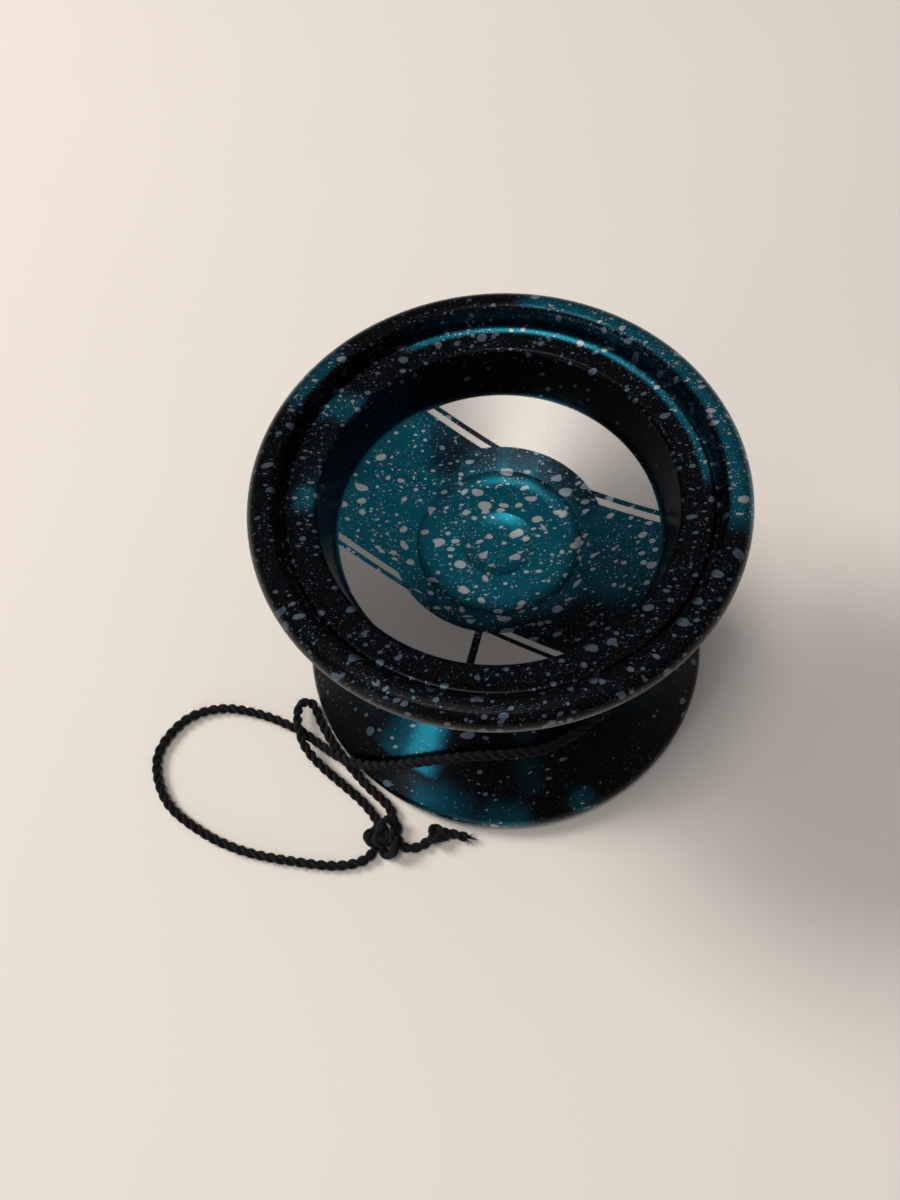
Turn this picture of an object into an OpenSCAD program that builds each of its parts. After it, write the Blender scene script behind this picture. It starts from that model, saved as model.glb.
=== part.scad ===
// Unresponsive metal yo-yo: two bored aluminium halves clamp a ball bearing on one axle screw,
// and a knotted two-ply string is wound on the bearing. The origin is the centre of the rest face,
// with +Z along the axle. Millimetres throughout.

/* [Body] */
// Outside diameter of both halves
body_d = 56; // [54:0.5:58]
// Overall width along the axle
body_w = 43; // [41:0.5:45]
// Outer edge radius of the rim
rim_round = 1.9; // [1.6:0.1:2.2]
// Inner edge radius of the rim
rim_inner_round = 1; // [0.8:0.1:1.2]
// Width of the rim from its outer edge to the groove inside it
rim_w = 3.4; // [3.2:0.1:3.6]
// Width of the narrow groove inside the rim
rim_groove_w = 0.4; // [0.3:0.05:0.5]

/* [Cup] */
// Radius of the sharp lip where the cup wall starts
cup_lip_r = 20.4; // [20:0.1:20.8]
// Radius of the cup floor's outer edge
cup_floor_r = 19.35; // [19:0.05:19.6]
// Radius of the shallow disc in the cup floor
cup_disc_r = 9.95; // [9:0.05:11]
// Radius of the dimple in the middle of that disc
cup_dimple_r = 4.4; // [4:0.1:5]

/* [String gap] */
// Width of the gap between the two halves
gap_w = 4.5; // [4.3:0.05:4.6]
// Radius where the gap opens into the V groove
gap_r = 11.1; // [11:0.05:11.3]
// Outer radius of each response pad's seat
pad_outer_r = 9.6; // [9.2:0.1:9.8]
// Inner radius of each response pad's seat
pad_inner_r = 7.1; // [7:0.05:7.4]

/* [Bearing and axle] */
// Outside diameter of the bearing
bearing_d = 12.7; // [12.6:0.05:12.8]
// Bore of the bearing's inner race
bearing_bore_d = 6.35; // [6.3:0.05:6.4]
// Width of the bearing
bearing_w = 4.762; // [4.7:0.01:4.8]
// Diameter of one bearing ball
ball_d = 1.588; // [1.5:0.01:1.6]
// Number of bearing balls
ball_count = 8; // [7, 8, 9]
// Length of the axle screw
axle_l = 12; // [11:0.5:12]
// Thread diameter of the axle screw
axle_d = 4; // [3.9:0.1:4]

/* [String] */
// Diameter of the string
string_d = 1.4; // [1.2:0.1:1.5]
// Outer radius of the string wound on the bearing
winding_r = 11.6; // [11:0.1:12]

/* [Hidden] */
$fn = 96;
ball_names = [for (i = [1:ball_count]) str("bearing_ball_", i)];

mid_z = body_w / 2;
body_r = body_d / 2;
half_gap = gap_w / 2;
bearing_h = bearing_w / 2;
bearing_r = bearing_d / 2;

// Radial clearances: a running fit, the gap around the bearing, and the gap around each pad
fit_clear = 0.015;
bearing_clear = 0.35;
pad_clear = 0.05;

// Depth of the pad seat and of the bearing seat behind the gap's face
pad_seat = 0.95;
bearing_seat = 0.45;
post_gap = 0.25;
shoulder_r = 3.95;
thread_clear = 0.02;
thread_pitch = 0.7;
thread_depth = 0.35;
axle_hole_h = 6.3;

// Heights above the middle plane of the cup's features
dimple_h = 7.25;
disc_inner_h = 7.7;
disc_outer_h = 7.75;
floor_inner_h = 8.5;
floor_outer_h = 12.2;
lip_h = 18.75;
shelf_h = 19.55;
groove_h = 18.3;

// The dimple and the disc both curve up to a crisp edge: width of that side, and its curve's radius
dimple_side_w = 1.5;
dimple_bowl_r = 7;
disc_side_w = 1.05;
disc_bowl_r = 3.6;

// The cup's shelf is hollow: from here out to its edge it rises more steeply
shelf_bend = [22.9, 19.05];
shelf_bend_round = 1.5;

// The string-side flank bends slightly where its two straight parts meet
flank_bend = [19.5, 9.86];
flank_rim_h = 18.81;
flank_bend_round = 150;

anodised_dark = [0.03, 0.11, 0.14];
steel = [0.72, 0.73, 0.75];
silicone = [0.80, 0.82, 0.84];
cotton_black = [0.05, 0.05, 0.06];

// ---- outline helpers ----

function unit(v) = v / norm(v);

// Points of one corner [r, h, radius], rounded between its neighbours a and b
function corner(a, c, b, steps = 8) =
    c[2] == 0 ? [[c[0], c[1]]] :
    let (
        p = [c[0], c[1]],
        u = unit([a[0], a[1]] - p),
        v = unit([b[0], b[1]] - p),
        half_angle = acos(u * v) / 2,
        reach = c[2] / tan(half_angle),
        centre = p + unit(u + v) * c[2] / sin(half_angle),
        from = p + u * reach - centre,
        to = p + v * reach - centre,
        a0 = atan2(from[1], from[0]),
        turn = atan2(to[1], to[0]) - a0,
        sweep = turn > 180 ? turn - 360 : turn < -180 ? turn + 360 : turn
    )
    [for (i = [0:steps]) centre + c[2] * [cos(a0 + sweep * i / steps), sin(a0 + sweep * i / steps)]];

function rounded(corners) = [
    for (i = [0:len(corners) - 1])
        each corner(
            corners[(i + len(corners) - 1) % len(corners)],
            corners[i],
            corners[(i + 1) % len(corners)])
];

module turned(corners) rotate_extrude() polygon(rounded(corners));

// ---- the two halves ----

// Section of one half as [radius, height above the middle plane, corner radius]
cup_side = [
    [0, dimple_h, 0],
    [cup_dimple_r - dimple_side_w, dimple_h, dimple_bowl_r],
    [cup_dimple_r, disc_inner_h, 0.15],
    [cup_disc_r - disc_side_w, disc_outer_h, disc_bowl_r],
    [cup_disc_r, floor_inner_h, 0.2],
    [cup_floor_r, floor_outer_h, 0.6],
    [cup_lip_r, lip_h, 0.7],
    [shelf_bend[0], shelf_bend[1], shelf_bend_round],
    [body_r - rim_w - rim_groove_w, shelf_h, 0.6],
    [body_r - rim_w - rim_groove_w, groove_h, 0],
    [body_r - rim_w, groove_h, 0],
    [body_r - rim_w, mid_z, rim_inner_round],
    [body_r, mid_z, rim_round]
];
string_side = [
    [body_r, flank_rim_h, rim_round],
    [flank_bend[0], flank_bend[1], flank_bend_round],
    [gap_r, half_gap, 0.8],
    [pad_outer_r, half_gap, 0.1],
    [pad_outer_r, half_gap + pad_seat, 0],
    [pad_inner_r, half_gap + pad_seat, 0],
    [pad_inner_r, half_gap, 0.1],
    [bearing_r + bearing_clear, half_gap, 0.1],
    [bearing_r + bearing_clear, half_gap + bearing_seat, 0],
    [shoulder_r, half_gap + bearing_seat, 0],
    [shoulder_r, bearing_h, 0],
    [bearing_bore_d / 2 - fit_clear, bearing_h, 0],
    [bearing_bore_d / 2 - fit_clear, post_gap, 0.2],
    [axle_d / 2 + thread_clear, post_gap, 0],
    [axle_d / 2 + thread_clear, axle_hole_h, 0],
    [0, axle_hole_h, 0]
];

module half() turned(concat(cup_side, string_side));

module above_middle() translate([0, 0, mid_z]) children();

module below_middle() translate([0, 0, mid_z]) mirror([0, 0, 1]) children();

module upper_half() color(anodised_dark) above_middle() half();

module lower_half() color(anodised_dark) below_middle() half();

// ---- response pads: flat silicone rings glued into the halves ----

module response_pad() {
    seat_h = half_gap + pad_seat;
    turned([
        [pad_inner_r + pad_clear, seat_h - 0.02, 0],
        [pad_outer_r - pad_clear, seat_h - 0.02, 0],
        [pad_outer_r - pad_clear, half_gap + pad_clear, 0.15],
        [pad_inner_r + pad_clear, half_gap + pad_clear, 0.15]
    ]);
}

module response_pad_upper() color(silicone) above_middle() response_pad();

module response_pad_lower() color(silicone) below_middle() response_pad();

// ---- axle: a set screw with a hexagon socket, its thread drawn as rings ----

module axle_screw() {
    r = axle_d / 2 - thread_clear;
    turns = floor((axle_l - 1) / thread_pitch);
    first = -turns * thread_pitch / 2;
    socket_across_flats = 2;
    socket_depth = 2;
    thread = [
        for (i = [0:turns - 1])
            each [[r - thread_depth, first + i * thread_pitch],
                  [r, first + (i + 0.5) * thread_pitch]]
    ];
    color(steel) translate([0, 0, mid_z]) difference() {
        rotate_extrude() polygon(concat(
            [[0, -axle_l / 2], [r - thread_depth, -axle_l / 2]],
            thread,
            [[r - thread_depth, axle_l / 2], [0, axle_l / 2]]));
        translate([0, 0, -axle_l / 2 - 1])
            cylinder(h = socket_depth + 1, d = socket_across_flats / cos(30), $fn = 6);
    }
}

// ---- ball bearing ----

ball_pitch_r = (bearing_r + bearing_bore_d / 2) / 2;
ball_track_r = ball_d / 2 + 0.036;
inner_race_r = 4.25;
outer_race_bore_r = 5.27;
shield_seat_r = 5.76;
shield_seat_h = 1.75;
shield_t = 0.2;

module ball_track() {
    rotate_extrude() translate([ball_pitch_r, 0]) circle(ball_track_r, $fn = 48);
}

module bearing_inner_race() {
    color(steel) translate([0, 0, mid_z]) difference() {
        turned([
            [bearing_bore_d / 2, -bearing_h, 0.15], [inner_race_r, -bearing_h, 0.1],
            [inner_race_r, bearing_h, 0.1], [bearing_bore_d / 2, bearing_h, 0.15]
        ]);
        ball_track();
    }
}

module bearing_outer_race() {
    color(steel) translate([0, 0, mid_z]) difference() {
        turned([
            [outer_race_bore_r, -shield_seat_h, 0], [shield_seat_r, -shield_seat_h, 0],
            [shield_seat_r, -bearing_h, 0.05], [bearing_r, -bearing_h, 0.3],
            [bearing_r, bearing_h, 0.3], [shield_seat_r, bearing_h, 0.05],
            [shield_seat_r, shield_seat_h, 0], [outer_race_bore_r, shield_seat_h, 0]
        ]);
        ball_track();
    }
}

module bearing_ball(i) {
    color(steel) rotate([0, 0, 360 / ball_count * (i - 0.5)])
        translate([ball_pitch_r, 0, mid_z]) sphere(d = ball_d);
}

// Ribbon cage with one radial pocket for each ball
module bearing_cage() {
    cage_inner_r = 4.5;
    cage_outer_r = 5.02;
    cage_h = 2.5;
    pocket_r = ball_d / 2 + 0.07;
    color(steel) translate([0, 0, mid_z]) difference() {
        cylinder(h = cage_h, r = cage_outer_r, center = true);
        cylinder(h = cage_h + 1, r = cage_inner_r, center = true);
        for (i = [1:ball_count])
            rotate([0, 90, 360 / ball_count * (i - 0.5)]) cylinder(h = 8, r = pocket_r);
    }
}

module bearing_shield() {
    translate([0, 0, shield_seat_h + 0.02]) difference() {
        cylinder(h = shield_t, r = shield_seat_r - 0.02);
        translate([0, 0, -1]) cylinder(h = shield_t + 2, r = inner_race_r + 0.1);
    }
}

module bearing_shield_upper() color(steel) above_middle() bearing_shield();

module bearing_shield_lower() color(steel) below_middle() bearing_shield();

// Split ring that holds a shield in its seat
module bearing_snap_ring() {
    ring_w = 0.34;
    ring_t = 0.22;
    split = 24;
    translate([0, 0, shield_seat_h + shield_t + 0.04]) rotate([0, 0, split / 2])
        rotate_extrude(angle = 360 - split)
            translate([shield_seat_r - 0.02 - ring_w, 0]) square([ring_w, ring_t]);
}

module bearing_snap_ring_upper() color(steel) above_middle() bearing_snap_ring();

module bearing_snap_ring_lower() color(steel) below_middle() bearing_snap_ring();

// ---- string ----

string_r = string_d / 2;
table_h = string_r + 0.05;

// Height above the middle plane of the flank at radius r
function flank_h(r) = lookup(r, [[gap_r, half_gap], flank_bend, [body_r, flank_rim_h]]);

// The last loose turn lies on the lower flank and widens from the winding to its edge
turn_start = 250;
turn_sweep = 330;
turn_points = 13;
turn_inner_r = 11.2;
turn_outer_r = 20.9;
turn_lift = 1.4;

function on_flank(r, angle) = [r * cos(angle), r * sin(angle), mid_z - flank_h(r) + turn_lift];

loose_turn = [
    for (i = [0:turn_points])
        let (t = i / turn_points)
        on_flank(turn_inner_r + (turn_outer_r - turn_inner_r) * t, turn_start - turn_sweep * t)
];

// Over the lower rim and once round the wide loop that lies on the table
wide_loop = [
    [-1.8, -20.9, 11.5], [-6.9, -20.3, 11.2], [-12.2, -19.5, 9.4], [-17.2, -18.6, 7.0],
    [-21.4, -17.3, 4.7], [-25.1, -14.9, 2.55], [-28.1, -11.9, 1.0], [-31.2, -9.1, table_h],
    [-36.4, -6.0, table_h], [-42.0, -4.3, table_h], [-47.4, -5.4, table_h],
    [-51.2, -10.2, table_h], [-50.0, -16.8, table_h], [-45.0, -22.0, table_h],
    [-39.4, -25.4, table_h], [-33.0, -27.7, table_h], [-26.8, -29.2, table_h],
    [-22.7, -28.6, table_h], [-21.0, -25.2, table_h]
];

// The small tied loop crosses over the wide one and comes back beside the rim
tied_loop = [
    [-22.6, -21.4, table_h], [-28.0, -15.3, 1.35], [-29.9, -12.5, 2.05], [-30.5, -10.2, 2.35],
    [-30.7, -8.4, 2.15], [-30.6, -7.0, 1.95], [-30.2, -6.0, 1.8], [-29.3, -5.6, 1.6],
    [-28.5, -6.0, 1.4], [-28.1, -6.8, 1.2], [-27.8, -8.0, 0.95], [-27.1, -10.0, table_h],
    [-25.4, -13.6, table_h], [-22.3, -18.5, table_h], [-19.3, -22.4, table_h]
];

// Through the finger knot to the tail with its small stopper knot
tail = [
    [-18.9, -25.4, table_h], [-18.2, -27.8, table_h], [-15.9, -28.3, table_h],
    [-13.2, -27.0, table_h], [-11.3, -27.2, table_h], [-9.4, -28.0, table_h]
];

route = concat(loose_turn, wide_loop, tied_loop, tail);

// Smooth curve through the route's points, sampled finely and then at even steps
function spline(a, b, c, d, t) =
    0.5 * (2 * b + (c - a) * t + (2 * a - 5 * b + 4 * c - d) * t * t
        + (3 * b - a - 3 * c + d) * t * t * t);

last = len(route) - 1;
fine = [
    for (i = [0:last - 1])
        for (t = [0:0.125:0.875])
            spline(route[max(i - 1, 0)], route[i], route[i + 1], route[min(i + 2, last)], t)
];
travel = [
    for (i = 0, s = 0; i < len(fine); i = i + 1, s = s + (i < len(fine) ? norm(fine[i] - fine[i - 1]) : 0))
        s
];
string_l = travel[len(travel) - 1];
ring_step = 3.25;
ring_count = round(string_l / ring_step);

function along(axis, s) = lookup(s, [for (i = [0:len(fine) - 1]) [travel[i], fine[i][axis]]]);

function at(s) = [along(0, s), along(1, s), along(2, s)];

// A tube of the given radius through a list of points
module tube(points, r, sides = 8) {
    n = len(points);
    rings = [
        for (i = [0:n - 1])
            let (
                ahead = unit(points[min(i + 1, n - 1)] - points[max(i - 1, 0)]),
                side = unit(cross(ahead, [0, 0, 1])),
                up = cross(side, ahead)
            )
            for (k = [0:sides - 1])
                points[i] + r * (cos(360 * k / sides) * side + sin(360 * k / sides) * up)
    ];
    walls = [
        for (i = [0:n - 2])
            for (k = [0:sides - 1])
                let (a = i * sides + k, b = i * sides + (k + 1) % sides)
                each [[a, b, b + sides], [a, b + sides, a + sides]]
    ];
    start_cap = [for (k = [sides - 1:-1:0]) k];
    end_cap = [for (k = [0:sides - 1]) (n - 1) * sides + k];
    polyhedron(points = rings, faces = concat([start_cap], walls, [end_cap]));
}

module string() {
    color(cotton_black) tube([for (i = [0:ring_count]) at(string_l * i / ring_count)], string_r);
}

// Outer shape of the turns wound on the bearing
module string_winding() {
    half_w = half_gap - 0.2;
    color(cotton_black) translate([0, 0, mid_z]) turned([
        [bearing_r + 0.05, -half_w, 0.2], [gap_r - 0.3, -half_w, 0.5],
        [winding_r, -half_w + 0.7, 0.5], [winding_r, half_w - 0.7, 0.5],
        [gap_r - 0.3, half_w, 0.5], [bearing_r + 0.05, half_w, 0.2]
    ]);
}

// A knot is a rounded lump around the places [x, y, z, radius]
module knot(lumps) {
    color(cotton_black) hull() for (lump = lumps)
        translate([lump[0], lump[1], lump[2]]) sphere(r = lump[3], $fn = 24);
}

module finger_knot() {
    knot([[-21.2, -27.4, 1.25, 1.2], [-21.0, -25.4, 1.3, 1.2], [-19.2, -25.2, 1.4, 1.2],
          [-19.2, -27.8, 1.3, 1.2], [-20.2, -26.4, 1.9, 1.2]]);
}

module end_knot() {
    knot([[-13.8, -27.2, 1.15, 1.1], [-12.5, -27.0, 1.2, 1.1], [-13.1, -27.3, 1.4, 1]]);
}

// ---- nodes ----

lower_half();
upper_half();
response_pad_lower();
response_pad_upper();
axle_screw();
bearing_inner_race();
bearing_outer_race();
bearing_cage();
bearing_shield_lower();
bearing_shield_upper();
bearing_snap_ring_lower();
bearing_snap_ring_upper();
for (i = [1:ball_count])
    bearing_ball(i);
string_winding();
string();
finger_knot();
end_knot();
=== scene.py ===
"""Looks of an unresponsive metal yo-yo.

Its halves are splash-anodised aluminium, its bearing is steel and its string is black and two-ply.
"""
import math

import bpy
import numpy as np
from mathutils import Matrix, Vector


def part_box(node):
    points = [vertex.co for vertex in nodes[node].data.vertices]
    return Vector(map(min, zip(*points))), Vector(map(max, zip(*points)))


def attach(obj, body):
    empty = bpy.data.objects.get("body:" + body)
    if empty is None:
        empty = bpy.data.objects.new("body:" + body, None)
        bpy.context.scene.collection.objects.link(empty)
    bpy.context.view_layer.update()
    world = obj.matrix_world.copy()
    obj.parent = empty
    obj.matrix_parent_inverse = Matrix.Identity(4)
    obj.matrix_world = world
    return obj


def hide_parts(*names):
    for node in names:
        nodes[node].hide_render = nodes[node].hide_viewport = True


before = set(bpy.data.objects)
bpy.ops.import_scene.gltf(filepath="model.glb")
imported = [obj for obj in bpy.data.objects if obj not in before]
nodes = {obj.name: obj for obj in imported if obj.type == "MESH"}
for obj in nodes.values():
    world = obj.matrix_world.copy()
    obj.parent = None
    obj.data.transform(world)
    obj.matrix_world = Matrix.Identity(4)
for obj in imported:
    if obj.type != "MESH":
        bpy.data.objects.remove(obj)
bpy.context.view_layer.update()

MM = 0.001

# The middle plane between the two halves, in metres and in millimetres
MID_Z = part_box("upper_half")[1].z / 2
MID_MM = MID_Z / MM


# ---- camera: above and in front of the yo-yo, looking down into its cup ----

# Place in metres, tilt and roll in degrees, and lens in millimetres
CAMERA_PLACE = (-0.0069, -0.0610, 0.1388)
CAMERA_TILT = 26.40
CAMERA_ROLL = -8.52
CAMERA_LENS = 30.94


def make_camera():
    data = bpy.data.cameras.new("camera")
    data.sensor_width = 36
    data.lens = CAMERA_LENS
    data.clip_start = 0.005
    camera = bpy.data.objects.new("camera", data)
    tilt = Matrix.Rotation(math.radians(CAMERA_TILT), 4, "X")
    roll = Matrix.Rotation(math.radians(CAMERA_ROLL), 4, "Z")
    camera.matrix_world = Matrix.Translation(CAMERA_PLACE) @ tilt @ roll
    bpy.context.scene.collection.objects.link(camera)
    bpy.context.scene.camera = camera


make_camera()


# ---- the string's route: the winding, the loose turn on the flank and the loops on the table ----

# TABLE_H is the height of the string's middle where it lies on the table
STRING_D = 1.4 * MM
TABLE_H = STRING_D / 2 + 0.05 * MM

# The turns wound on the bearing lie in layers, each running from one side of the gap to the other
WOUND_LAYERS = 5
WOUND_INNER_R = 7.0 * MM
WOUND_LAYER_STEP = 1.0 * MM
WOUND_SIDE_H = 1.38 * MM
WOUND_LAYER_TURNS = 2.95
WOUND_CLIMB = 0.12
WOUND_POINTS_PER_TURN = 16

# The last loose turn lies over the lower flank and widens from the winding to the wide loop's start
TURN_START = 250
TURN_SWEEP = 330
TURN_POINTS = 13
TURN_INNER_R = 11.2 * MM
TURN_OUTER_R = 20.9 * MM
TURN_LIFT = 1.4 * MM

# The flank's section: radii, and the depths under the middle plane there
FLANK_R = (11.1 * MM, 19.5 * MM, 28.0 * MM)
FLANK_H = (2.25 * MM, 9.86 * MM, 18.81 * MM)

# The free string's route from there to its end, in metres
WIDE_LOOP = [
    (-0.0018, -0.0209, 0.0115), (-0.0069, -0.0203, 0.0112), (-0.0122, -0.0195, 0.0094),
    (-0.0172, -0.0186, 0.0070), (-0.0214, -0.0173, 0.0047), (-0.0251, -0.0149, 0.00255),
    (-0.0281, -0.0119, 0.0010), (-0.0312, -0.0091, TABLE_H), (-0.0364, -0.0060, TABLE_H),
    (-0.0420, -0.0043, TABLE_H), (-0.0474, -0.0054, TABLE_H), (-0.0512, -0.0102, TABLE_H),
    (-0.0500, -0.0168, TABLE_H), (-0.0450, -0.0220, TABLE_H), (-0.0394, -0.0254, TABLE_H),
    (-0.0330, -0.0277, TABLE_H), (-0.0268, -0.0292, TABLE_H), (-0.0227, -0.0286, TABLE_H),
    (-0.0210, -0.0252, TABLE_H),
]
TIED_LOOP = [
    (-0.0226, -0.0214, TABLE_H), (-0.0280, -0.0153, 0.00135), (-0.0299, -0.0125, 0.00205),
    (-0.0305, -0.0102, 0.00235), (-0.0307, -0.0084, 0.00215), (-0.0306, -0.0070, 0.00195),
    (-0.0302, -0.0060, 0.0018), (-0.0293, -0.0056, 0.0016), (-0.0285, -0.0060, 0.0014),
    (-0.0281, -0.0068, 0.0012), (-0.0278, -0.0080, 0.00095), (-0.0271, -0.0100, TABLE_H),
    (-0.0254, -0.0136, TABLE_H), (-0.0223, -0.0185, TABLE_H), (-0.0193, -0.0224, TABLE_H),
]
TAIL = [
    (-0.0189, -0.0254, TABLE_H), (-0.0182, -0.0278, TABLE_H), (-0.0159, -0.0283, TABLE_H),
    (-0.0132, -0.0270, TABLE_H), (-0.0113, -0.0272, TABLE_H), (-0.0094, -0.0280, TABLE_H),
]


def around(radius, azimuth, z):
    """A point at a radius, an azimuth in degrees and a height."""
    return (radius * math.cos(math.radians(azimuth)), radius * math.sin(math.radians(azimuth)), z)


def wound_point(turn, turns):
    """Place on the winding after this many turns: the string climbs a layer at each side of the gap."""
    layer = min(int(turn / WOUND_LAYER_TURNS), WOUND_LAYERS - 1)
    done = turn / WOUND_LAYER_TURNS - layer
    climb = min(done / WOUND_CLIMB, 1) if layer else 1
    across = max(done - WOUND_CLIMB, 0) / (1 - WOUND_CLIMB)
    side = 1 if layer % 2 == 0 else -1
    radius = WOUND_INNER_R + WOUND_LAYER_STEP * (layer - 1 + climb * climb * (3 - 2 * climb))
    azimuth = TURN_START + 360 * (turns - turn)
    return around(radius, azimuth, MID_Z + side * WOUND_SIDE_H * (1 - 2 * across))


def winding():
    turns = WOUND_LAYERS * WOUND_LAYER_TURNS
    count = round(turns * WOUND_POINTS_PER_TURN)
    return [wound_point(turns * i / count, turns) for i in range(count)]


def loose_turn():
    points = []
    for i in range(TURN_POINTS + 1):
        done = i / TURN_POINTS
        radius = TURN_INNER_R + (TURN_OUTER_R - TURN_INNER_R) * done
        z = MID_Z - float(np.interp(radius, FLANK_R, FLANK_H)) + TURN_LIFT
        points.append(around(radius, TURN_START - TURN_SWEEP * done, z))
    return points


def smooth_line(route, step):
    """Points at even steps along the smooth curve through a route."""
    route = np.array(route, float)
    ends = np.vstack([route[:1], route, route[-1:]])
    a, b, c, d = ends[:-3], ends[1:-2], ends[2:-1], ends[3:]
    pieces = [
        0.5 * (2 * b + (c - a) * t + (2 * a - 5 * b + 4 * c - d) * t**2 + (3 * b - a - 3 * c + d) * t**3)
        for t in np.arange(0, 1, 0.05)
    ]
    fine = np.vstack([np.stack(pieces, axis=1).reshape(-1, 3), route[-1:]])
    travel = np.concatenate([[0], np.cumsum(np.linalg.norm(np.diff(fine, axis=0), axis=1))])
    places = np.linspace(0, travel[-1], max(round(travel[-1] / step), 4) + 1)
    return np.stack([np.interp(places, travel, fine[:, k]) for k in range(3)], axis=1)


# ---- meshes ----


def mesh_piece(name, points, faces, corners_uv=None):
    """A smooth mesh object from its points and faces, with one (u, v) for each face corner if given."""
    mesh = bpy.data.meshes.new(name)
    mesh.from_pydata([tuple(p) for p in points], [], [tuple(f) for f in faces])
    mesh.shade_smooth()
    if corners_uv is not None:
        mesh.uv_layers.new(name="along").data.foreach_set("uv", np.asarray(corners_uv, np.float32).ravel())
    piece = bpy.data.objects.new(name, mesh)
    bpy.context.scene.collection.objects.link(piece)
    return piece


def frames_along(line):
    """For each point of a line, its direction and two sideways directions that don't spin about it."""
    ahead = np.gradient(line, axis=0)
    ahead /= np.linalg.norm(ahead, axis=1)[:, None]
    side = np.cross(ahead[0], (0.0, 0.0, 1.0))
    if np.linalg.norm(side) < 0.1:
        side = np.cross(ahead[0], (1.0, 0.0, 0.0))
    sides = []
    for direction in ahead:
        side = side - direction * side.dot(direction)
        side = side / np.linalg.norm(side)
        sides.append(side)
    sides = np.array(sides)
    return ahead, sides, np.cross(ahead, sides)


def tube(line, radius, side_count, frames, swell=None):
    """Points, faces and corner (u, v) of a tube along a line. radius is its two half widths, and swell
    scales each ring."""
    count = len(line)
    _, side, up = frames
    angle = np.arange(side_count) * 2 * math.pi / side_count
    wide, high = radius
    scale = np.ones(count) if swell is None else swell
    ring = (
        wide * np.cos(angle)[None, :, None] * side[:, None, :]
        + high * np.sin(angle)[None, :, None] * up[:, None, :]
    )
    points = (line[:, None, :] + ring * scale[:, None, None]).reshape(-1, 3)
    travel = np.concatenate([[0], np.cumsum(np.linalg.norm(np.diff(line, axis=0), axis=1))]) / MM
    faces = []
    corners = []
    for i in range(count - 1):
        for k in range(side_count):
            a, b = i * side_count + k, i * side_count + (k + 1) % side_count
            faces.append((a, b, b + side_count, a + side_count))
            u, v = k / side_count, (k + 1) / side_count
            corners += [(u, travel[i]), (v, travel[i]), (v, travel[i + 1]), (u, travel[i + 1])]
    for ring_start, order in ((0, -1), ((count - 1) * side_count, 1)):
        cap = tuple(ring_start + k for k in range(side_count))[::order]
        faces.append(cap)
        corners += [(0, 0)] * side_count
    return points, faces, corners


def joined(parts):
    """One set of points, faces and corners from several."""
    points, faces, corners = [], [], []
    start = 0
    for part_points, part_faces, part_corners in parts:
        points.append(part_points)
        faces += [tuple(start + i for i in face) for face in part_faces]
        corners += part_corners
        start += len(part_points)
    return np.vstack(points), faces, corners


# The length of one twist, and each ply's distance from the string's middle, half widths and side count
PLY_LAY = 2.8 * MM
PLY_OFFSET = 0.30 * MM
PLY_RADIUS = (0.40 * MM, 0.46 * MM)
PLY_SIDES = 10


def two_ply(line, scale=1.0):
    """Two plies twisted round each other along a line."""
    ahead, side, up = frames_along(line)
    travel = np.concatenate([[0], np.cumsum(np.linalg.norm(np.diff(line, axis=0), axis=1))])
    parts = []
    for ply in range(2):
        angle = 2 * math.pi * travel / PLY_LAY + math.pi * ply
        out = np.cos(angle)[:, None] * side + np.sin(angle)[:, None] * up
        across = np.cross(ahead, out)
        radius = (PLY_RADIUS[0] * scale, PLY_RADIUS[1] * scale)
        parts.append(tube(line + out * PLY_OFFSET * scale, radius, PLY_SIDES, (ahead, out, across)))
    return joined(parts)


# ---- material helpers ----


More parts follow.
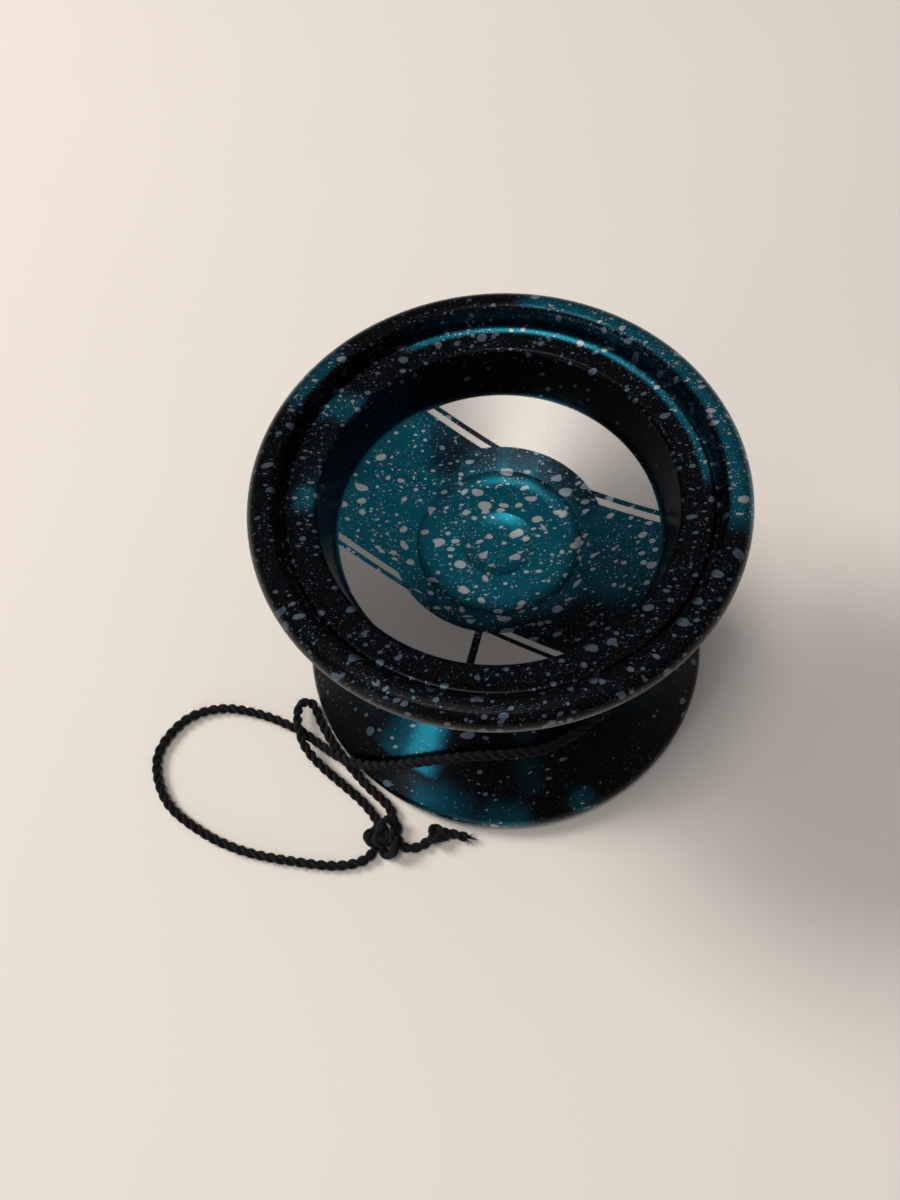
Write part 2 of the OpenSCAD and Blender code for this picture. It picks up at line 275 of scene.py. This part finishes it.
class Shading:
    """One material's node tree, with short calls for the nodes that the materials share."""

    def __init__(self, name):
        self.material = bpy.data.materials.new(name)
        self.material.use_nodes = True
        self.tree = self.material.node_tree
        self.shader = self.tree.nodes["Principled BSDF"]

    def node(self, kind, **settings):
        made = self.tree.nodes.new(kind)
        for name, value in settings.items():
            setattr(made, name, value)
        return made

    def put(self, socket, value):
        """Links a socket to an output, or sets it to a plain value."""
        if isinstance(value, bpy.types.NodeSocket):
            self.tree.links.new(value, socket)
        else:
            socket.default_value = value

    def finish(self, **inputs):
        """Sets the shader's inputs by name, with spaces written as underscores."""
        for name, value in inputs.items():
            self.put(self.shader.inputs[name.replace("_", " ")], value)
        return self.material

    def math(self, operation, a, b=0.0, clamp=False):
        made = self.node("ShaderNodeMath", operation=operation, use_clamp=clamp)
        self.put(made.inputs[0], a)
        self.put(made.inputs[1], b)
        return made.outputs[0]

    def vector(self, operation, a, b=(0.0, 0.0, 0.0)):
        made = self.node("ShaderNodeVectorMath", operation=operation)
        self.put(made.inputs[0], a)
        if operation == "SCALE":
            self.put(made.inputs["Scale"], b)
        else:
            self.put(made.inputs[1], b)
        return made.outputs["Value" if operation in ("DISTANCE", "DOT_PRODUCT", "LENGTH") else "Vector"]

    def fade(self, value, start, end, low=0.0, high=1.0):
        """Goes smoothly from low, where value is start, to high, where value is end."""
        made = self.node("ShaderNodeMapRange", interpolation_type="SMOOTHSTEP")
        for name, given in (
            ("Value", value),
            ("From Min", start),
            ("From Max", end),
            ("To Min", low),
            ("To Max", high),
        ):
            self.put(made.inputs[name], given)
        return made.outputs["Result"]

    def between(self, value, low, high, soft):
        """1 where value is from low to high, and 0 outside, with soft edges."""
        rise = self.fade(value, low - soft, low + soft)
        fall = self.fade(value, high - soft, high + soft, 1.0, 0.0)
        return self.math("MULTIPLY", rise, fall)

    def mix(self, factor, a, b, data_type="RGBA"):
        """From colour a to colour b, or from number a to number b with data_type FLOAT."""
        made = self.node("ShaderNodeMix", data_type=data_type)
        self.put(made.inputs["Factor"], factor)
        self.put(made.inputs["A"], a)
        self.put(made.inputs["B"], b)
        return made.outputs["Result"]

    def noise(self, place, scale, detail=3.0, roughness=0.5):
        made = self.node("ShaderNodeTexNoise")
        self.put(made.inputs["Vector"], place)
        self.put(made.inputs["Scale"], scale)
        self.put(made.inputs["Detail"], detail)
        self.put(made.inputs["Roughness"], roughness)
        return made

    def bump(self, height, distance, strength=1.0, normal=None):
        made = self.node("ShaderNodeBump")
        self.put(made.inputs["Height"], height)
        self.put(made.inputs["Distance"], distance)
        self.put(made.inputs["Strength"], strength)
        if normal is not None:
            self.put(made.inputs["Normal"], normal)
        return made.outputs["Normal"]

    def place_mm(self):
        """The point on the surface, in millimetres in the row frame at rest."""
        return self.vector("SCALE", self.node("ShaderNodeTexCoord").outputs["Object"], 1 / MM)

    def split(self, vector):
        made = self.node("ShaderNodeSeparateXYZ")
        self.put(made.inputs[0], vector)
        return made.outputs

    def radius(self, place):
        """Distance from the yo-yo's axis."""
        return self.vector("LENGTH", self.vector("MULTIPLY", place, (1.0, 1.0, 0.0)))


def paint(piece, material):
    piece.data.materials.clear()
    piece.data.materials.append(material)
    for slot in piece.material_slots:
        slot.link = "DATA"
        slot.material = material


def colour(red, green, blue):
    return (red, green, blue, 1.0)


# ---- anodised aluminium ----

BLACK_DYE = colour(0.0035, 0.004, 0.005)
DEEP_DYE = colour(0.002, 0.030, 0.052)
TEAL_DYE = colour(0.002, 0.140, 0.200)
SPECK_ON_BLACK = colour(0.110, 0.155, 0.205)
SPECK_ON_TEAL = colour(0.55, 0.54, 0.55)
ETCHED = colour(0.585, 0.55, 0.52)
ETCHED_DARK = colour(0.48, 0.45, 0.42)

# Soft teal patches: radius, azimuth, height over the middle plane, reach (all in millimetres) and strength
UPPER_PATCHES = [
    (0, 0, 8, 15, 1.0),
    (13, 168, 10, 13, 1.0),
    (15, 130, 11, 9, 0.9),
    (14, -15, 10, 10, 0.55),
    (22, 137, 19, 3.4, 0.8),
    (21.3, 172, 19, 2.4, 0.9),
    (20, 60, 6, 8, 0.9),
    (18, -145, 5, 8, 0.8),
    (17, -40, 5, 6, 0.6),
]
LOWER_PATCHES = [
    (2, 20, 8, 14, 1.0),
    (13, -20, 10, 12, 1.0),
    (15, 200, 11, 9, 0.7),
    (22, 60, 19, 3.4, 0.8),
    (17, 60, 5, 7, 0.8),
    (19, 170, 6, 7, 0.8),
    (26.9, -75, 17.5, 2.6, 0.6),
    (28, -115, 19, 6.5, 0.6),
    (28, -99, 19, 5.0, 0.65),
]

# Teal bands: radius and azimuth from and to, in millimetres and degrees, and strength. The upper half
# has its bands on the cup's side and the lower half on the flank.
UPPER_BANDS = [
    (25.2, 30.0, -22, 74, 1.0),
    (25.2, 30.0, 126, 146, 0.8),
    (22.9, 24.6, -6, 108, 1.0),
    (19.0, 20.3, 112, 181, 0.45),
    (19.0, 20.3, -181, -148, 0.45),
]
LOWER_BANDS = [
    (9.0, 24.5, -134, -121, 1.0),
    (9.0, 24.5, -143, -128, 0.5),
    (17.0, 25.0, -94, -86, 0.25),
]

# Patches with no teal: radius, azimuth, height, reach and strength
UPPER_BLACK = [
    (16, -88, 11, 7, 1.0),
    (15, -62, 11, 5, 1.0),
    (15, -112, 11, 4.5, 1.0),
    (12.0, 20, 9.2, 3.2, 0.5),
    (11.6, 42, 9.2, 3.4, 0.6),
    (11.6, 65, 9.2, 3.4, 0.6),
    (12.0, 88, 9.2, 3.2, 0.6),
    (13.5, 110, 10, 3.6, 0.75),
]
LOWER_BLACK = [
    (16, 80, 11, 7, 1.0),
    (15, 105, 11, 5, 1.0),
]

# How far the dye's edges wander, in millimetres, and the bands' share of that. Then where the teal
# fades: shares of a patch's reach, and half widths in millimetres and degrees at a band's edges.
DYE_DRIFT = 4.0
BAND_DRIFT_SHARE = 0.12
PATCH_EDGE = (1.1, 0.4)
BAND_EDGE_R = 0.35
BAND_EDGE_AZIMUTH = 4.0


def dye_patches(s, place, side, patches):
    """Soft dye patches, as the strongest of several fading balls."""
    strongest = 0.0
    for radius, azimuth, height, reach, strength in patches:
        x, y, _ = around(radius, azimuth, 0)
        far = s.vector("DISTANCE", place, (x, y, MID_MM + side * height))
        patch = s.fade(far, reach * PATCH_EDGE[0], reach * PATCH_EDGE[1], 0.0, strength)
        strongest = s.math("MAXIMUM", strongest, patch)
    return strongest


def dye_bands(s, place, bands):
    """Dye bands that run round the yo-yo between two radii and two azimuths."""
    x, y, _ = s.split(place)
    radius = s.radius(place)
    azimuth = s.math("MULTIPLY", s.math("ARCTAN2", y, x), 180 / math.pi)
    strongest = 0.0
    for inner, outer, start, end, strength in bands:
        in_ring = s.between(radius, inner, outer, BAND_EDGE_R)
        in_sector = s.between(azimuth, start, end, BAND_EDGE_AZIMUTH)
        band = s.math("MULTIPLY", s.math("MULTIPLY", in_ring, in_sector), strength)
        strongest = s.math("MAXIMUM", strongest, band)
    return strongest


# Places on one half's section, in millimetres from the axis and over the middle plane, and the cone
# over the flank: its slope, and its depth under that plane at the axis
CUP_BASE_H = 8.2
WALL_R = (18.9, 20.2)
WALL_TOP_H = (17.9, 18.3)
RIM_TOP_R = 26.1
RIM_SIDE_H = 18.9
FLANK_SLOPE = 0.85
FLANK_DROP = 4.9

# The share of a height that counts as the way up to it, when the surface is laid out flat
CLIMB_SHARE = 0.8

# The share of the specks that the cup's wall and the flank go without
WALL_BARE = 0.85
FLANK_BARE = 0.72

# The larger specks' uneven outlines: how far they shift, in millimetres, and how they are stretched
BLOTCH_SHIFT = 0.8
BLOTCH_STRETCH = (0.8, 1.15, 1.0)


def specks(s, flat, cell, largest, share, evenness, offset):
    """Mask of bare specks, at most one in each cell: a share of the cells has one, of uneven size."""
    cells = s.node("ShaderNodeTexVoronoi", feature="F1", voronoi_dimensions="2D")
    s.put(cells.inputs["Vector"], s.vector("ADD", flat, offset))
    s.put(cells.inputs["Scale"], 1 / cell)
    s.put(cells.inputs["Randomness"], 0.8)
    chance = s.split(cells.outputs["Color"])
    size = s.math("MULTIPLY", s.math("POWER", chance[0], evenness), largest / cell)
    kept = s.math("LESS_THAN", chance[1], share)
    size = s.math("MULTIPLY", size, kept)
    return s.fade(cells.outputs["Distance"], size, s.math("MULTIPLY", size, 0.8))


def flattened(s, place, height, radius):
    """The surface laid out flat: each point is pushed out from the axis by the way up to it, so that walls
    unroll. Past the rim's top the way goes down again."""
    climb = s.math("MAXIMUM", s.math("SUBTRACT", height, CUP_BASE_H), 0.0)
    outside = s.math("GREATER_THAN", radius, RIM_TOP_R)
    past_top = s.math("MULTIPLY", outside, s.math("GREATER_THAN", height, RIM_SIDE_H))
    down = s.math("MULTIPLY", s.math("MULTIPLY", s.math("SUBTRACT", MID_MM, height), past_top), 2.0)
    lift = s.math("MULTIPLY", s.math("ADD", climb, down), CLIMB_SHARE)
    stretch = s.math("ADD", 1.0, s.math("DIVIDE", lift, s.math("MAXIMUM", radius, 1.0)))
    return s.vector("MULTIPLY", s.vector("SCALE", place, stretch), (1.0, 1.0, 0.0))


def over_flank(s, height, radius):
    """How far a point is over the cone that the string-side flank stays under, in millimetres."""
    cone = s.math("SUBTRACT", s.math("MULTIPLY", radius, FLANK_SLOPE), FLANK_DROP)
    return s.math("SUBTRACT", height, cone)


def speck_share(s, place, height, radius):
    """How much of the surface the specks keep: little on the cup's wall and the flank, more elsewhere."""
    drift = s.noise(s.vector("ADD", place, (60.0, 20.0, 5.0)), 0.16, 2.0).outputs[0]
    share = s.fade(drift, 0.35, 0.62, 0.55, 1.0)
    wall = s.math("MULTIPLY", s.between(radius, *WALL_R, 0.15), s.fade(height, *WALL_TOP_H, 1.0, 0.0))
    flank = s.fade(over_flank(s, height, radius), -0.2, 0.2, 1.0, 0.0)
    bare = s.math("MAXIMUM", s.math("MULTIPLY", wall, WALL_BARE), s.math("MULTIPLY", flank, FLANK_BARE))
    return s.math("MULTIPLY", share, s.math("SUBTRACT", 1.0, bare))


def splashed_specks(s, place, height, radius):
    """Bare specks of five sizes, the larger ones drawn out and uneven in outline and mostly on the disc."""
    flat = flattened(s, place, height, radius)
    wobble = s.noise(place, 0.6, 0.0)
    shift = s.vector("SCALE", s.vector("SUBTRACT", wobble.outputs["Color"], (0.5, 0.5, 0.5)), BLOTCH_SHIFT)
    blotchy = s.vector("MULTIPLY", s.vector("ADD", flat, shift), BLOTCH_STRETCH)
    share = speck_share(s, place, height, radius)
    middle = s.fade(radius, 9.0, 14.0, 1.0, 0.5)
    fine = s.fade(radius, 19.0, 21.0, 0.28, 0.36)
    # Layout, cell size and largest radius in millimetres, share of cells, evenness and offset
    sizes = [
        (blotchy, 2.7, 0.80, s.math("MULTIPLY", middle, 0.9), 0.75, (0.0, 0.0, 0.0)),
        (blotchy, 1.7, 0.46, 0.66, 1.0, (31.0, 7.0, 0.0)),
        (blotchy, 0.95, 0.25, 0.42, 1.1, (13.0, 27.0, 0.0)),
        (flat, 0.52, 0.13, fine, 1.1, (5.0, 43.0, 0.0)),
        (flat, 0.30, 0.075, fine, 1.0, (17.0, 3.0, 0.0)),
    ]
    mask = 0.0
    for spot, cell, largest, kept, evenness, offset in sizes:
        some = specks(s, spot, cell, largest, s.math("MULTIPLY", share, kept), evenness, offset)
        mask = s.math("MAXIMUM", mask, some)
    return mask


# The etched fields: distances across the cup along ETCH_AZIMUTH, in millimetres, their ring, the gap in
# the lower one, and the cone just under the cup's floor, above which they lie
ETCH_AZIMUTH = 50.3
ETCH_UPPER_FIELD = 11.1
ETCH_UPPER_STRIPE = (9.75, 10.5)
ETCH_LOWER_FIELD = -11.55
ETCH_LOWER_STRIPE = (-10.95, -10.2)
ETCH_INNER_R = 12.8
ETCH_OUTER_R = 18.9
ETCH_EDGE = 0.05
ETCH_GAP_AZIMUTH = -109
ETCH_GAP_HALF_W = 0.45
CUP_FLOOR_SLOPE = 0.394
CUP_FLOOR_UNDER = 4.1


def etched_fields(s, place, height, radius):
    """Mask of the two silver fields on the cup floor, each with a stripe along its straight edge."""
    turn = math.radians(ETCH_AZIMUTH)
    across = s.vector("DOT_PRODUCT", place, (math.cos(turn), math.sin(turn), 0.0))
    gap_turn = math.radians(ETCH_GAP_AZIMUTH)
    past_gap = s.vector("DOT_PRODUCT", place, (-math.sin(gap_turn), math.cos(gap_turn), 0.0))
    gap = s.between(past_gap, -ETCH_GAP_HALF_W, ETCH_GAP_HALF_W, ETCH_EDGE)
    upper = s.fade(across, ETCH_UPPER_FIELD - ETCH_EDGE, ETCH_UPPER_FIELD + ETCH_EDGE)
    upper = s.math("MAXIMUM", upper, s.between(across, *ETCH_UPPER_STRIPE, ETCH_EDGE))
    lower = s.fade(across, ETCH_LOWER_FIELD + ETCH_EDGE, ETCH_LOWER_FIELD - ETCH_EDGE)
    lower = s.math("MULTIPLY", lower, s.math("SUBTRACT", 1.0, gap))
    lower = s.math("MAXIMUM", lower, s.between(across, *ETCH_LOWER_STRIPE, ETCH_EDGE))
    ring = s.between(radius, ETCH_INNER_R, ETCH_OUTER_R, ETCH_EDGE)
    under_floor = s.math("ADD", s.math("MULTIPLY", radius, CUP_FLOOR_SLOPE), CUP_FLOOR_UNDER)
    in_cup = s.math("GREATER_THAN", height, under_floor)
    return s.math("MULTIPLY", s.math("MULTIPLY", s.math("MAXIMUM", upper, lower), ring), in_cup)


def dyed(s, place, side, patches, bands, banded, black_patches):
    """The dye's colour and the specks' colour: black, with teal patches, and with teal bands on the banded
    side. All fade at their edges."""
    cloud = s.noise(place, 0.22, 3.0, 0.5)
    drift = s.vector("SCALE", s.vector("SUBTRACT", cloud.outputs["Color"], (0.5, 0.5, 0.5)), DYE_DRIFT)
    cloudy = s.vector("ADD", place, drift)
    soft = dye_patches(s, cloudy, side, patches)
    black = dye_patches(s, cloudy, side, black_patches)
    teal = s.math("MULTIPLY", soft, s.math("SUBTRACT", 1.0, black))
    ripple = s.vector("SCALE", drift, BAND_DRIFT_SHARE)
    band = s.math("MULTIPLY", dye_bands(s, s.vector("ADD", place, ripple), bands), banded)
    teal = s.math("MAXIMUM", teal, band)
    mottle = s.fade(s.noise(place, 0.9, 5.0, 0.6).outputs[0], 0.3, 0.7, 0.8, 1.0)
    deep = s.mix(s.math("MULTIPLY", teal, 2.0, clamp=True), BLACK_DYE, DEEP_DYE)
    dye = s.mix(s.math("MULTIPLY", s.math("MULTIPLY", teal, teal), mottle), deep, TEAL_DYE)
    return dye, s.mix(teal, SPECK_ON_BLACK, SPECK_ON_TEAL)


# Roughness of the dye, from least to most, of the specks and of the etched fields, how strongly the
# specks cover the dye, and the millimetres between the lathe's turning lines
DYE_ROUGHNESS = (0.31, 0.39)
SPECK_ROUGHNESS = 0.5
ETCH_ROUGHNESS = 0.46
SPECK_STRENGTH = 0.92
TURNING_PITCH = 0.14


def anodised(name, side, patches, bands, band_start, black_patches):
    """Splash-anodised aluminium: teal dye fading into black, with pale specks and etched silver fields.
    band_start is the two heights over the flank's cone between which the bands appear."""
    s = Shading(name)
    place = s.place_mm()
    radius = s.radius(place)
    height = s.math("MULTIPLY", s.math("SUBTRACT", s.split(place)[2], MID_MM), side)
    speck = splashed_specks(s, place, height, radius)
    etch = etched_fields(s, place, height, radius)
    banded = s.fade(over_flank(s, height, radius), *band_start)
    dye, speck_dye = dyed(s, place, side, patches, bands, banded, black_patches)
    bare = s.mix(s.math("MULTIPLY", speck, SPECK_STRENGTH), dye, speck_dye)
    grain = s.noise(place, 9.0, 3.0, 0.7).outputs[0]
    roughness = s.mix(speck, s.fade(grain, 0.2, 0.8, *DYE_ROUGHNESS), SPECK_ROUGHNESS, "FLOAT")
    turning = s.math("SINE", s.math("MULTIPLY", radius, 2 * math.pi / TURNING_PITCH))
    blasted = s.bump(grain, 0.010 * MM)
    etched = s.mix(s.fade(grain, 0.3, 0.7), ETCHED_DARK, ETCHED)
    return s.finish(
        Base_Color=s.mix(etch, bare, etched),
        Metallic=1.0,
        Roughness=s.mix(etch, roughness, ETCH_ROUGHNESS, "FLOAT"),
        Coat_Weight=0.12,
        Coat_Roughness=0.3,
        Normal=s.bump(turning, 0.0006 * MM, 1.0, blasted),
    )


upper_dye = anodised("anodised_upper", 1, UPPER_PATCHES, UPPER_BANDS, (0.1, 1.2), UPPER_BLACK)
lower_dye = anodised("anodised_lower", -1, LOWER_PATCHES, LOWER_BANDS, (0.2, -0.2), LOWER_BLACK)
paint(nodes["upper_half"], upper_dye)
paint(nodes["lower_half"], lower_dye)


# ---- silicone, steel and string materials ----


def silicone():
    s = Shading("silicone")
    place = s.place_mm()
    cloud = s.noise(place, 0.8, 3.0).outputs[0]
    dust = s.fade(s.noise(place, 6.0, 4.0, 0.7).outputs[0], 0.6, 0.75)
    base = s.mix(cloud, colour(0.55, 0.58, 0.60), colour(0.70, 0.73, 0.75))
    return s.finish(
        Base_Color=s.mix(s.math("MULTIPLY", dust, 0.5), base, colour(0.20, 0.20, 0.21)),
        Roughness=s.fade(dust, 0.0, 1.0, 0.42, 0.7),
        Normal=s.bump(s.noise(place, 12.0, 3.0).outputs[0], 0.02 * MM),
    )


def turned_steel(name, base, gloss, line_width, line_depth):
    """Steel with fine lines round the yo-yo's axis, faint stains and a little unevenness in its gloss."""
    s = Shading(name)
    place = s.place_mm()
    radius = s.radius(place)
    lines = s.noise(s.vector("MULTIPLY", place, (0.02, 0.02, 1.0)), 1 / line_width, 2.0)
    rings = s.math("SINE", s.math("MULTIPLY", radius, 2 * math.pi / line_width))
    stain = s.fade(s.noise(place, 0.7, 4.0, 0.6).outputs[0], 0.35, 0.7)
    dull = tuple(0.72 * c for c in base[:3]) + (1.0,)
    return s.finish(
        Base_Color=s.mix(s.math("MULTIPLY", stain, 0.5), base, dull),
        Metallic=1.0,
        Roughness=s.fade(stain, 0.0, 1.0, gloss, gloss + 0.12),
        Normal=s.bump(s.math("ADD", rings, lines.outputs[0]), line_depth),
    )


STRING_DARK = colour(0.004, 0.004, 0.005)
STRING_LIGHT = colour(0.030, 0.030, 0.034)

# Yarns round a ply, and how many of them a line along the ply crosses in a millimetre
YARNS = 7
YARN_SLANT = 1.9


def string_material(name):
    """Black spun yarn: slanting yarns on each ply, paler fibres and a soft sheen."""
    s = Shading(name)
    place = s.place_mm()
    coordinates = s.split(s.node("ShaderNodeUVMap", uv_map="along").outputs[0])
    around_ply = s.math("MULTIPLY", coordinates[0], YARNS)
    slant = s.math("ADD", around_ply, s.math("MULTIPLY", coordinates[1], YARN_SLANT))
    ridge = s.math("ABSOLUTE", s.math("SINE", s.math("MULTIPLY", slant, math.pi)))
    fibre = s.noise(place, 14.0, 4.0, 0.7).outputs[0]
    patch = s.fade(s.noise(place, 1.1, 3.0).outputs[0], 0.35, 0.7)
    light = s.math("MULTIPLY", s.fade(fibre, 0.4, 0.75), s.math("ADD", 0.4, s.math("MULTIPLY", patch, 0.6)))
    ridged = s.bump(ridge, 0.05 * MM)
    return s.finish(
        Base_Color=s.mix(light, STRING_DARK, STRING_LIGHT),
        Roughness=s.fade(fibre, 0.2, 0.8, 0.7, 0.95),
        Specular_IOR_Level=0.15,
        Sheen_Weight=0.06,
        Sheen_Roughness=0.5,
        Normal=s.bump(fibre, 0.05 * MM, 1.0, ridged),
    )


def paint_steel_and_pads():
    pad = silicone()
    race = turned_steel("bearing_steel", colour(0.56, 0.57, 0.59), 0.16, 0.07, 0.0012 * MM)
    ball = turned_steel("ball_steel", colour(0.66, 0.67, 0.69), 0.06, 0.3, 0.0002 * MM)
    cage = turned_steel("cage_steel", colour(0.46, 0.43, 0.38), 0.28, 0.11, 0.0015 * MM)
    shield = turned_steel("shield_steel", colour(0.60, 0.61, 0.62), 0.26, 0.09, 0.0010 * MM)
    axle = turned_steel("axle_steel", colour(0.20, 0.20, 0.21), 0.34, 0.12, 0.0015 * MM)
    for name, node in nodes.items():
        if name.startswith("response_pad"):
            paint(node, pad)
        elif name.startswith("bearing_ball"):
            paint(node, ball)
        elif name.startswith("bearing_shield"):
            paint(node, shield)
        elif name == "bearing_cage":
            paint(node, cage)
        elif name.startswith("bearing"):
            paint(node, race)
        elif name == "axle_screw":
            paint(node, axle)


paint_steel_and_pads()


# ---- string, knots, frayed end and fuzz ----

# Distance between the cord's rings
STRING_STEP = 0.34 * MM

# Name, middle and half sizes in millimetres, turn in degrees and scale of each knot
KNOTS = [
    ("finger_knot", (-20.3, -26.5, 1.6), (2.1, 2.3, 0.85), 20, 1.0),
    ("end_knot", (-13.2, -27.1, 1.25), (1.15, 0.95, 0.6), 75, 0.8),
]

# The length at the string's end that has fuzz, and the number of hairs on it and of yarns at its end
FUZZY_LENGTH = 0.25
FUZZ_HAIRS = 2600
FRAYED_YARNS = 26


def make_string(material):
    """The whole string as one cord: winding, loose turn, loops and tail."""
    line = smooth_line(winding() + loose_turn() + WIDE_LOOP + TIED_LOOP + TAIL, STRING_STEP)
    piece = mesh_piece("string_cord", *two_ply(line))
    paint(piece, material)
    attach(piece, "string_side")
    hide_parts("string", "string_winding")
    return piece, line


def knot_line(centre, reach, turn):
    """A closed overhand knot of the given half sizes in millimetres, turned about the vertical."""
    t = np.linspace(0, 2 * math.pi, 90)
    x = (np.sin(t) + 2 * np.sin(2 * t)) / 2.8
    y = (np.cos(t) - 2 * np.cos(2 * t)) / 2.8
    c, n = math.cos(math.radians(turn)), math.sin(math.radians(turn))
    flat = np.stack([x * c - y * n, x * n + y * c, -np.sin(3 * t)], axis=1)
    return (np.array(centre) + flat * np.array(reach)) * MM


def make_knot(material, name, centre, reach, turn, scale):
    piece = mesh_piece(name + "_strands", *two_ply(knot_line(centre, reach, turn), scale))
    paint(piece, material)
    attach(piece, "string_side")
    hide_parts(name)
    return piece


def hair(start, direction, length, curl, radius, rng):
    """One thin fibre that starts at a point and bends as it goes."""
    steps = np.linspace(0, 1, 5)
    bend = rng.normal(size=3)
    bend -= direction * bend.dot(direction)
    line = start + length * (steps[:, None] * direction + curl * steps[:, None] ** 2 * bend)
    line[:, 2] = np.maximum(line[:, 2], radius)
    return tube(line, (radius, radius), 3, frames_along(line), 1 - 0.6 * steps)


def make_fuzz(material, line):
    """Loose fibres that stand off the free string."""
    rng = np.random.default_rng(7)
    ahead, side, up = frames_along(line)
    start_of_fuzz = len(line) - round(FUZZY_LENGTH / STRING_STEP)
    parts = []
    for _ in range(FUZZ_HAIRS):
        i = int(rng.integers(start_of_fuzz, len(line) - 2))
        angle = rng.uniform(0, 2 * math.pi)
        out = math.cos(angle) * side[i] + math.sin(angle) * up[i]
        direction = out * rng.uniform(0.3, 1.0) + ahead[i] * rng.uniform(-1.0, 1.0)
        direction /= np.linalg.norm(direction)
        start = line[i] + out * STRING_D * 0.4
        parts.append(hair(start, direction, rng.uniform(0.2, 0.75) * MM, 0.5, 0.012 * MM, rng))
    piece = mesh_piece("string_fuzz", *joined(parts))
    paint(piece, material)
    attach(piece, "string_side")
    return piece


def make_frayed_end(material, line):
    """The tail's last millimetres, where the yarns come apart."""
    rng = np.random.default_rng(11)
    end = line[-1]
    ahead = line[-1] - line[-6]
    ahead /= np.linalg.norm(ahead)
    parts = []
    for _ in range(FRAYED_YARNS):
        direction = ahead + rng.normal(size=3) * 0.28
        direction /= np.linalg.norm(direction)
        start = end - ahead * 0.3 * MM + rng.normal(size=3) * 0.14 * MM
        parts.append(hair(start, direction, rng.uniform(0.9, 2.0) * MM, 0.2, 0.045 * MM, rng))
    piece = mesh_piece("string_frayed_end", *joined(parts))
    paint(piece, material)
    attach(piece, "string_side")
    return piece


def make_string_set():
    fibre = string_material("string_fibre")
    cord, line = make_string(fibre)
    knots = [make_knot(fibre, *knot) for knot in KNOTS]
    fuzz = make_fuzz(fibre, line)
    frayed = make_frayed_end(fibre, line)


make_string_set()


# ---- table and studio light ----

TABLE_HALF_SIZE = 3.0
WARM = (1.0, 0.96, 0.91)
COOL = (0.93, 0.97, 1.0)

# Name, place, size, power, tint and whether the metal mirrors it. The key lights the table and the string.
LAMPS = [
    ("key", (-0.60, 0.34, 0.56), (0.30, 0.30), 6.0, WARM, False),
    ("overhead", (-0.16, -0.07, 0.90), (0.26, 0.26), 2.1, WARM, True),
    ("front_left", (-0.64, -0.52, 0.22), (0.10, 0.16), 0.7, COOL, True),
]
LAMP_AIM = (0.0, 0.0, 0.02)

# Two factors of the room's glow, each as heights from and to, where 1 is straight up, and the values
# there
GLOW_STEPS = ((0.2, 0.82, 0.065, 0.37), (0.84, 1.0, 1.0, 0.4))


def make_table():
    far = TABLE_HALF_SIZE
    corners = [(-far, -far, 0), (far, -far, 0), (far, far, 0), (-far, far, 0)]
    table = mesh_piece("table", corners, [(0, 1, 2, 3)])
    s = Shading("table_top")
    place = s.place_mm()
    cloud = s.noise(place, 0.02, 3.0).outputs[0]
    grain = s.noise(place, 2.2, 3.0, 0.6).outputs[0]
    base = s.mix(cloud, colour(0.80, 0.735, 0.67), colour(0.83, 0.765, 0.70))
    paint(table, s.finish(Base_Color=base, Roughness=0.55, Normal=s.bump(grain, 0.02 * MM)))


def make_light(name, place, size, power, tint, mirrored):
    data = bpy.data.lights.new(name, "AREA")
    data.shape = "RECTANGLE"
    data.size, data.size_y = size
    data.energy = power
    data.color = tint
    light = bpy.data.objects.new(name, data)
    light.location = place
    light.rotation_mode = "QUATERNION"
    light.rotation_quaternion = (Vector(LAMP_AIM) - Vector(place)).to_track_quat("-Z", "Y")
    light.visible_glossy = mirrored
    bpy.context.scene.collection.objects.link(light)


def make_room_glow():
    """A dim room, palest a little under the middle of its ceiling and darkest near the horizon."""
    world = bpy.data.worlds.new("studio")
    world.use_nodes = True
    tree = world.node_tree
    height = tree.nodes.new("ShaderNodeSeparateXYZ")
    tree.links.new(tree.nodes.new("ShaderNodeTexCoord").outputs["Generated"], height.inputs[0])
    glow = tree.nodes.new("ShaderNodeMath")
    glow.operation = "MULTIPLY"
    for socket, steps in zip(glow.inputs, GLOW_STEPS):
        part = tree.nodes.new("ShaderNodeMapRange")
        for name, value in zip(("From Min", "From Max", "To Min", "To Max"), steps):
            part.inputs[name].default_value = value
        tree.links.new(height.outputs["Z"], part.inputs["Value"])
        tree.links.new(part.outputs["Result"], socket)
    tree.links.new(glow.outputs[0], tree.nodes["Background"].inputs["Strength"])
    tree.nodes["Background"].inputs["Color"].default_value = (0.97, 0.97, 1.0, 1.0)
    bpy.context.scene.world = world


def make_studio():
    for lamp in LAMPS:
        make_light(*lamp)
    make_room_glow()
    bpy.context.scene.view_settings.view_transform = "Standard"


make_table()
make_studio()
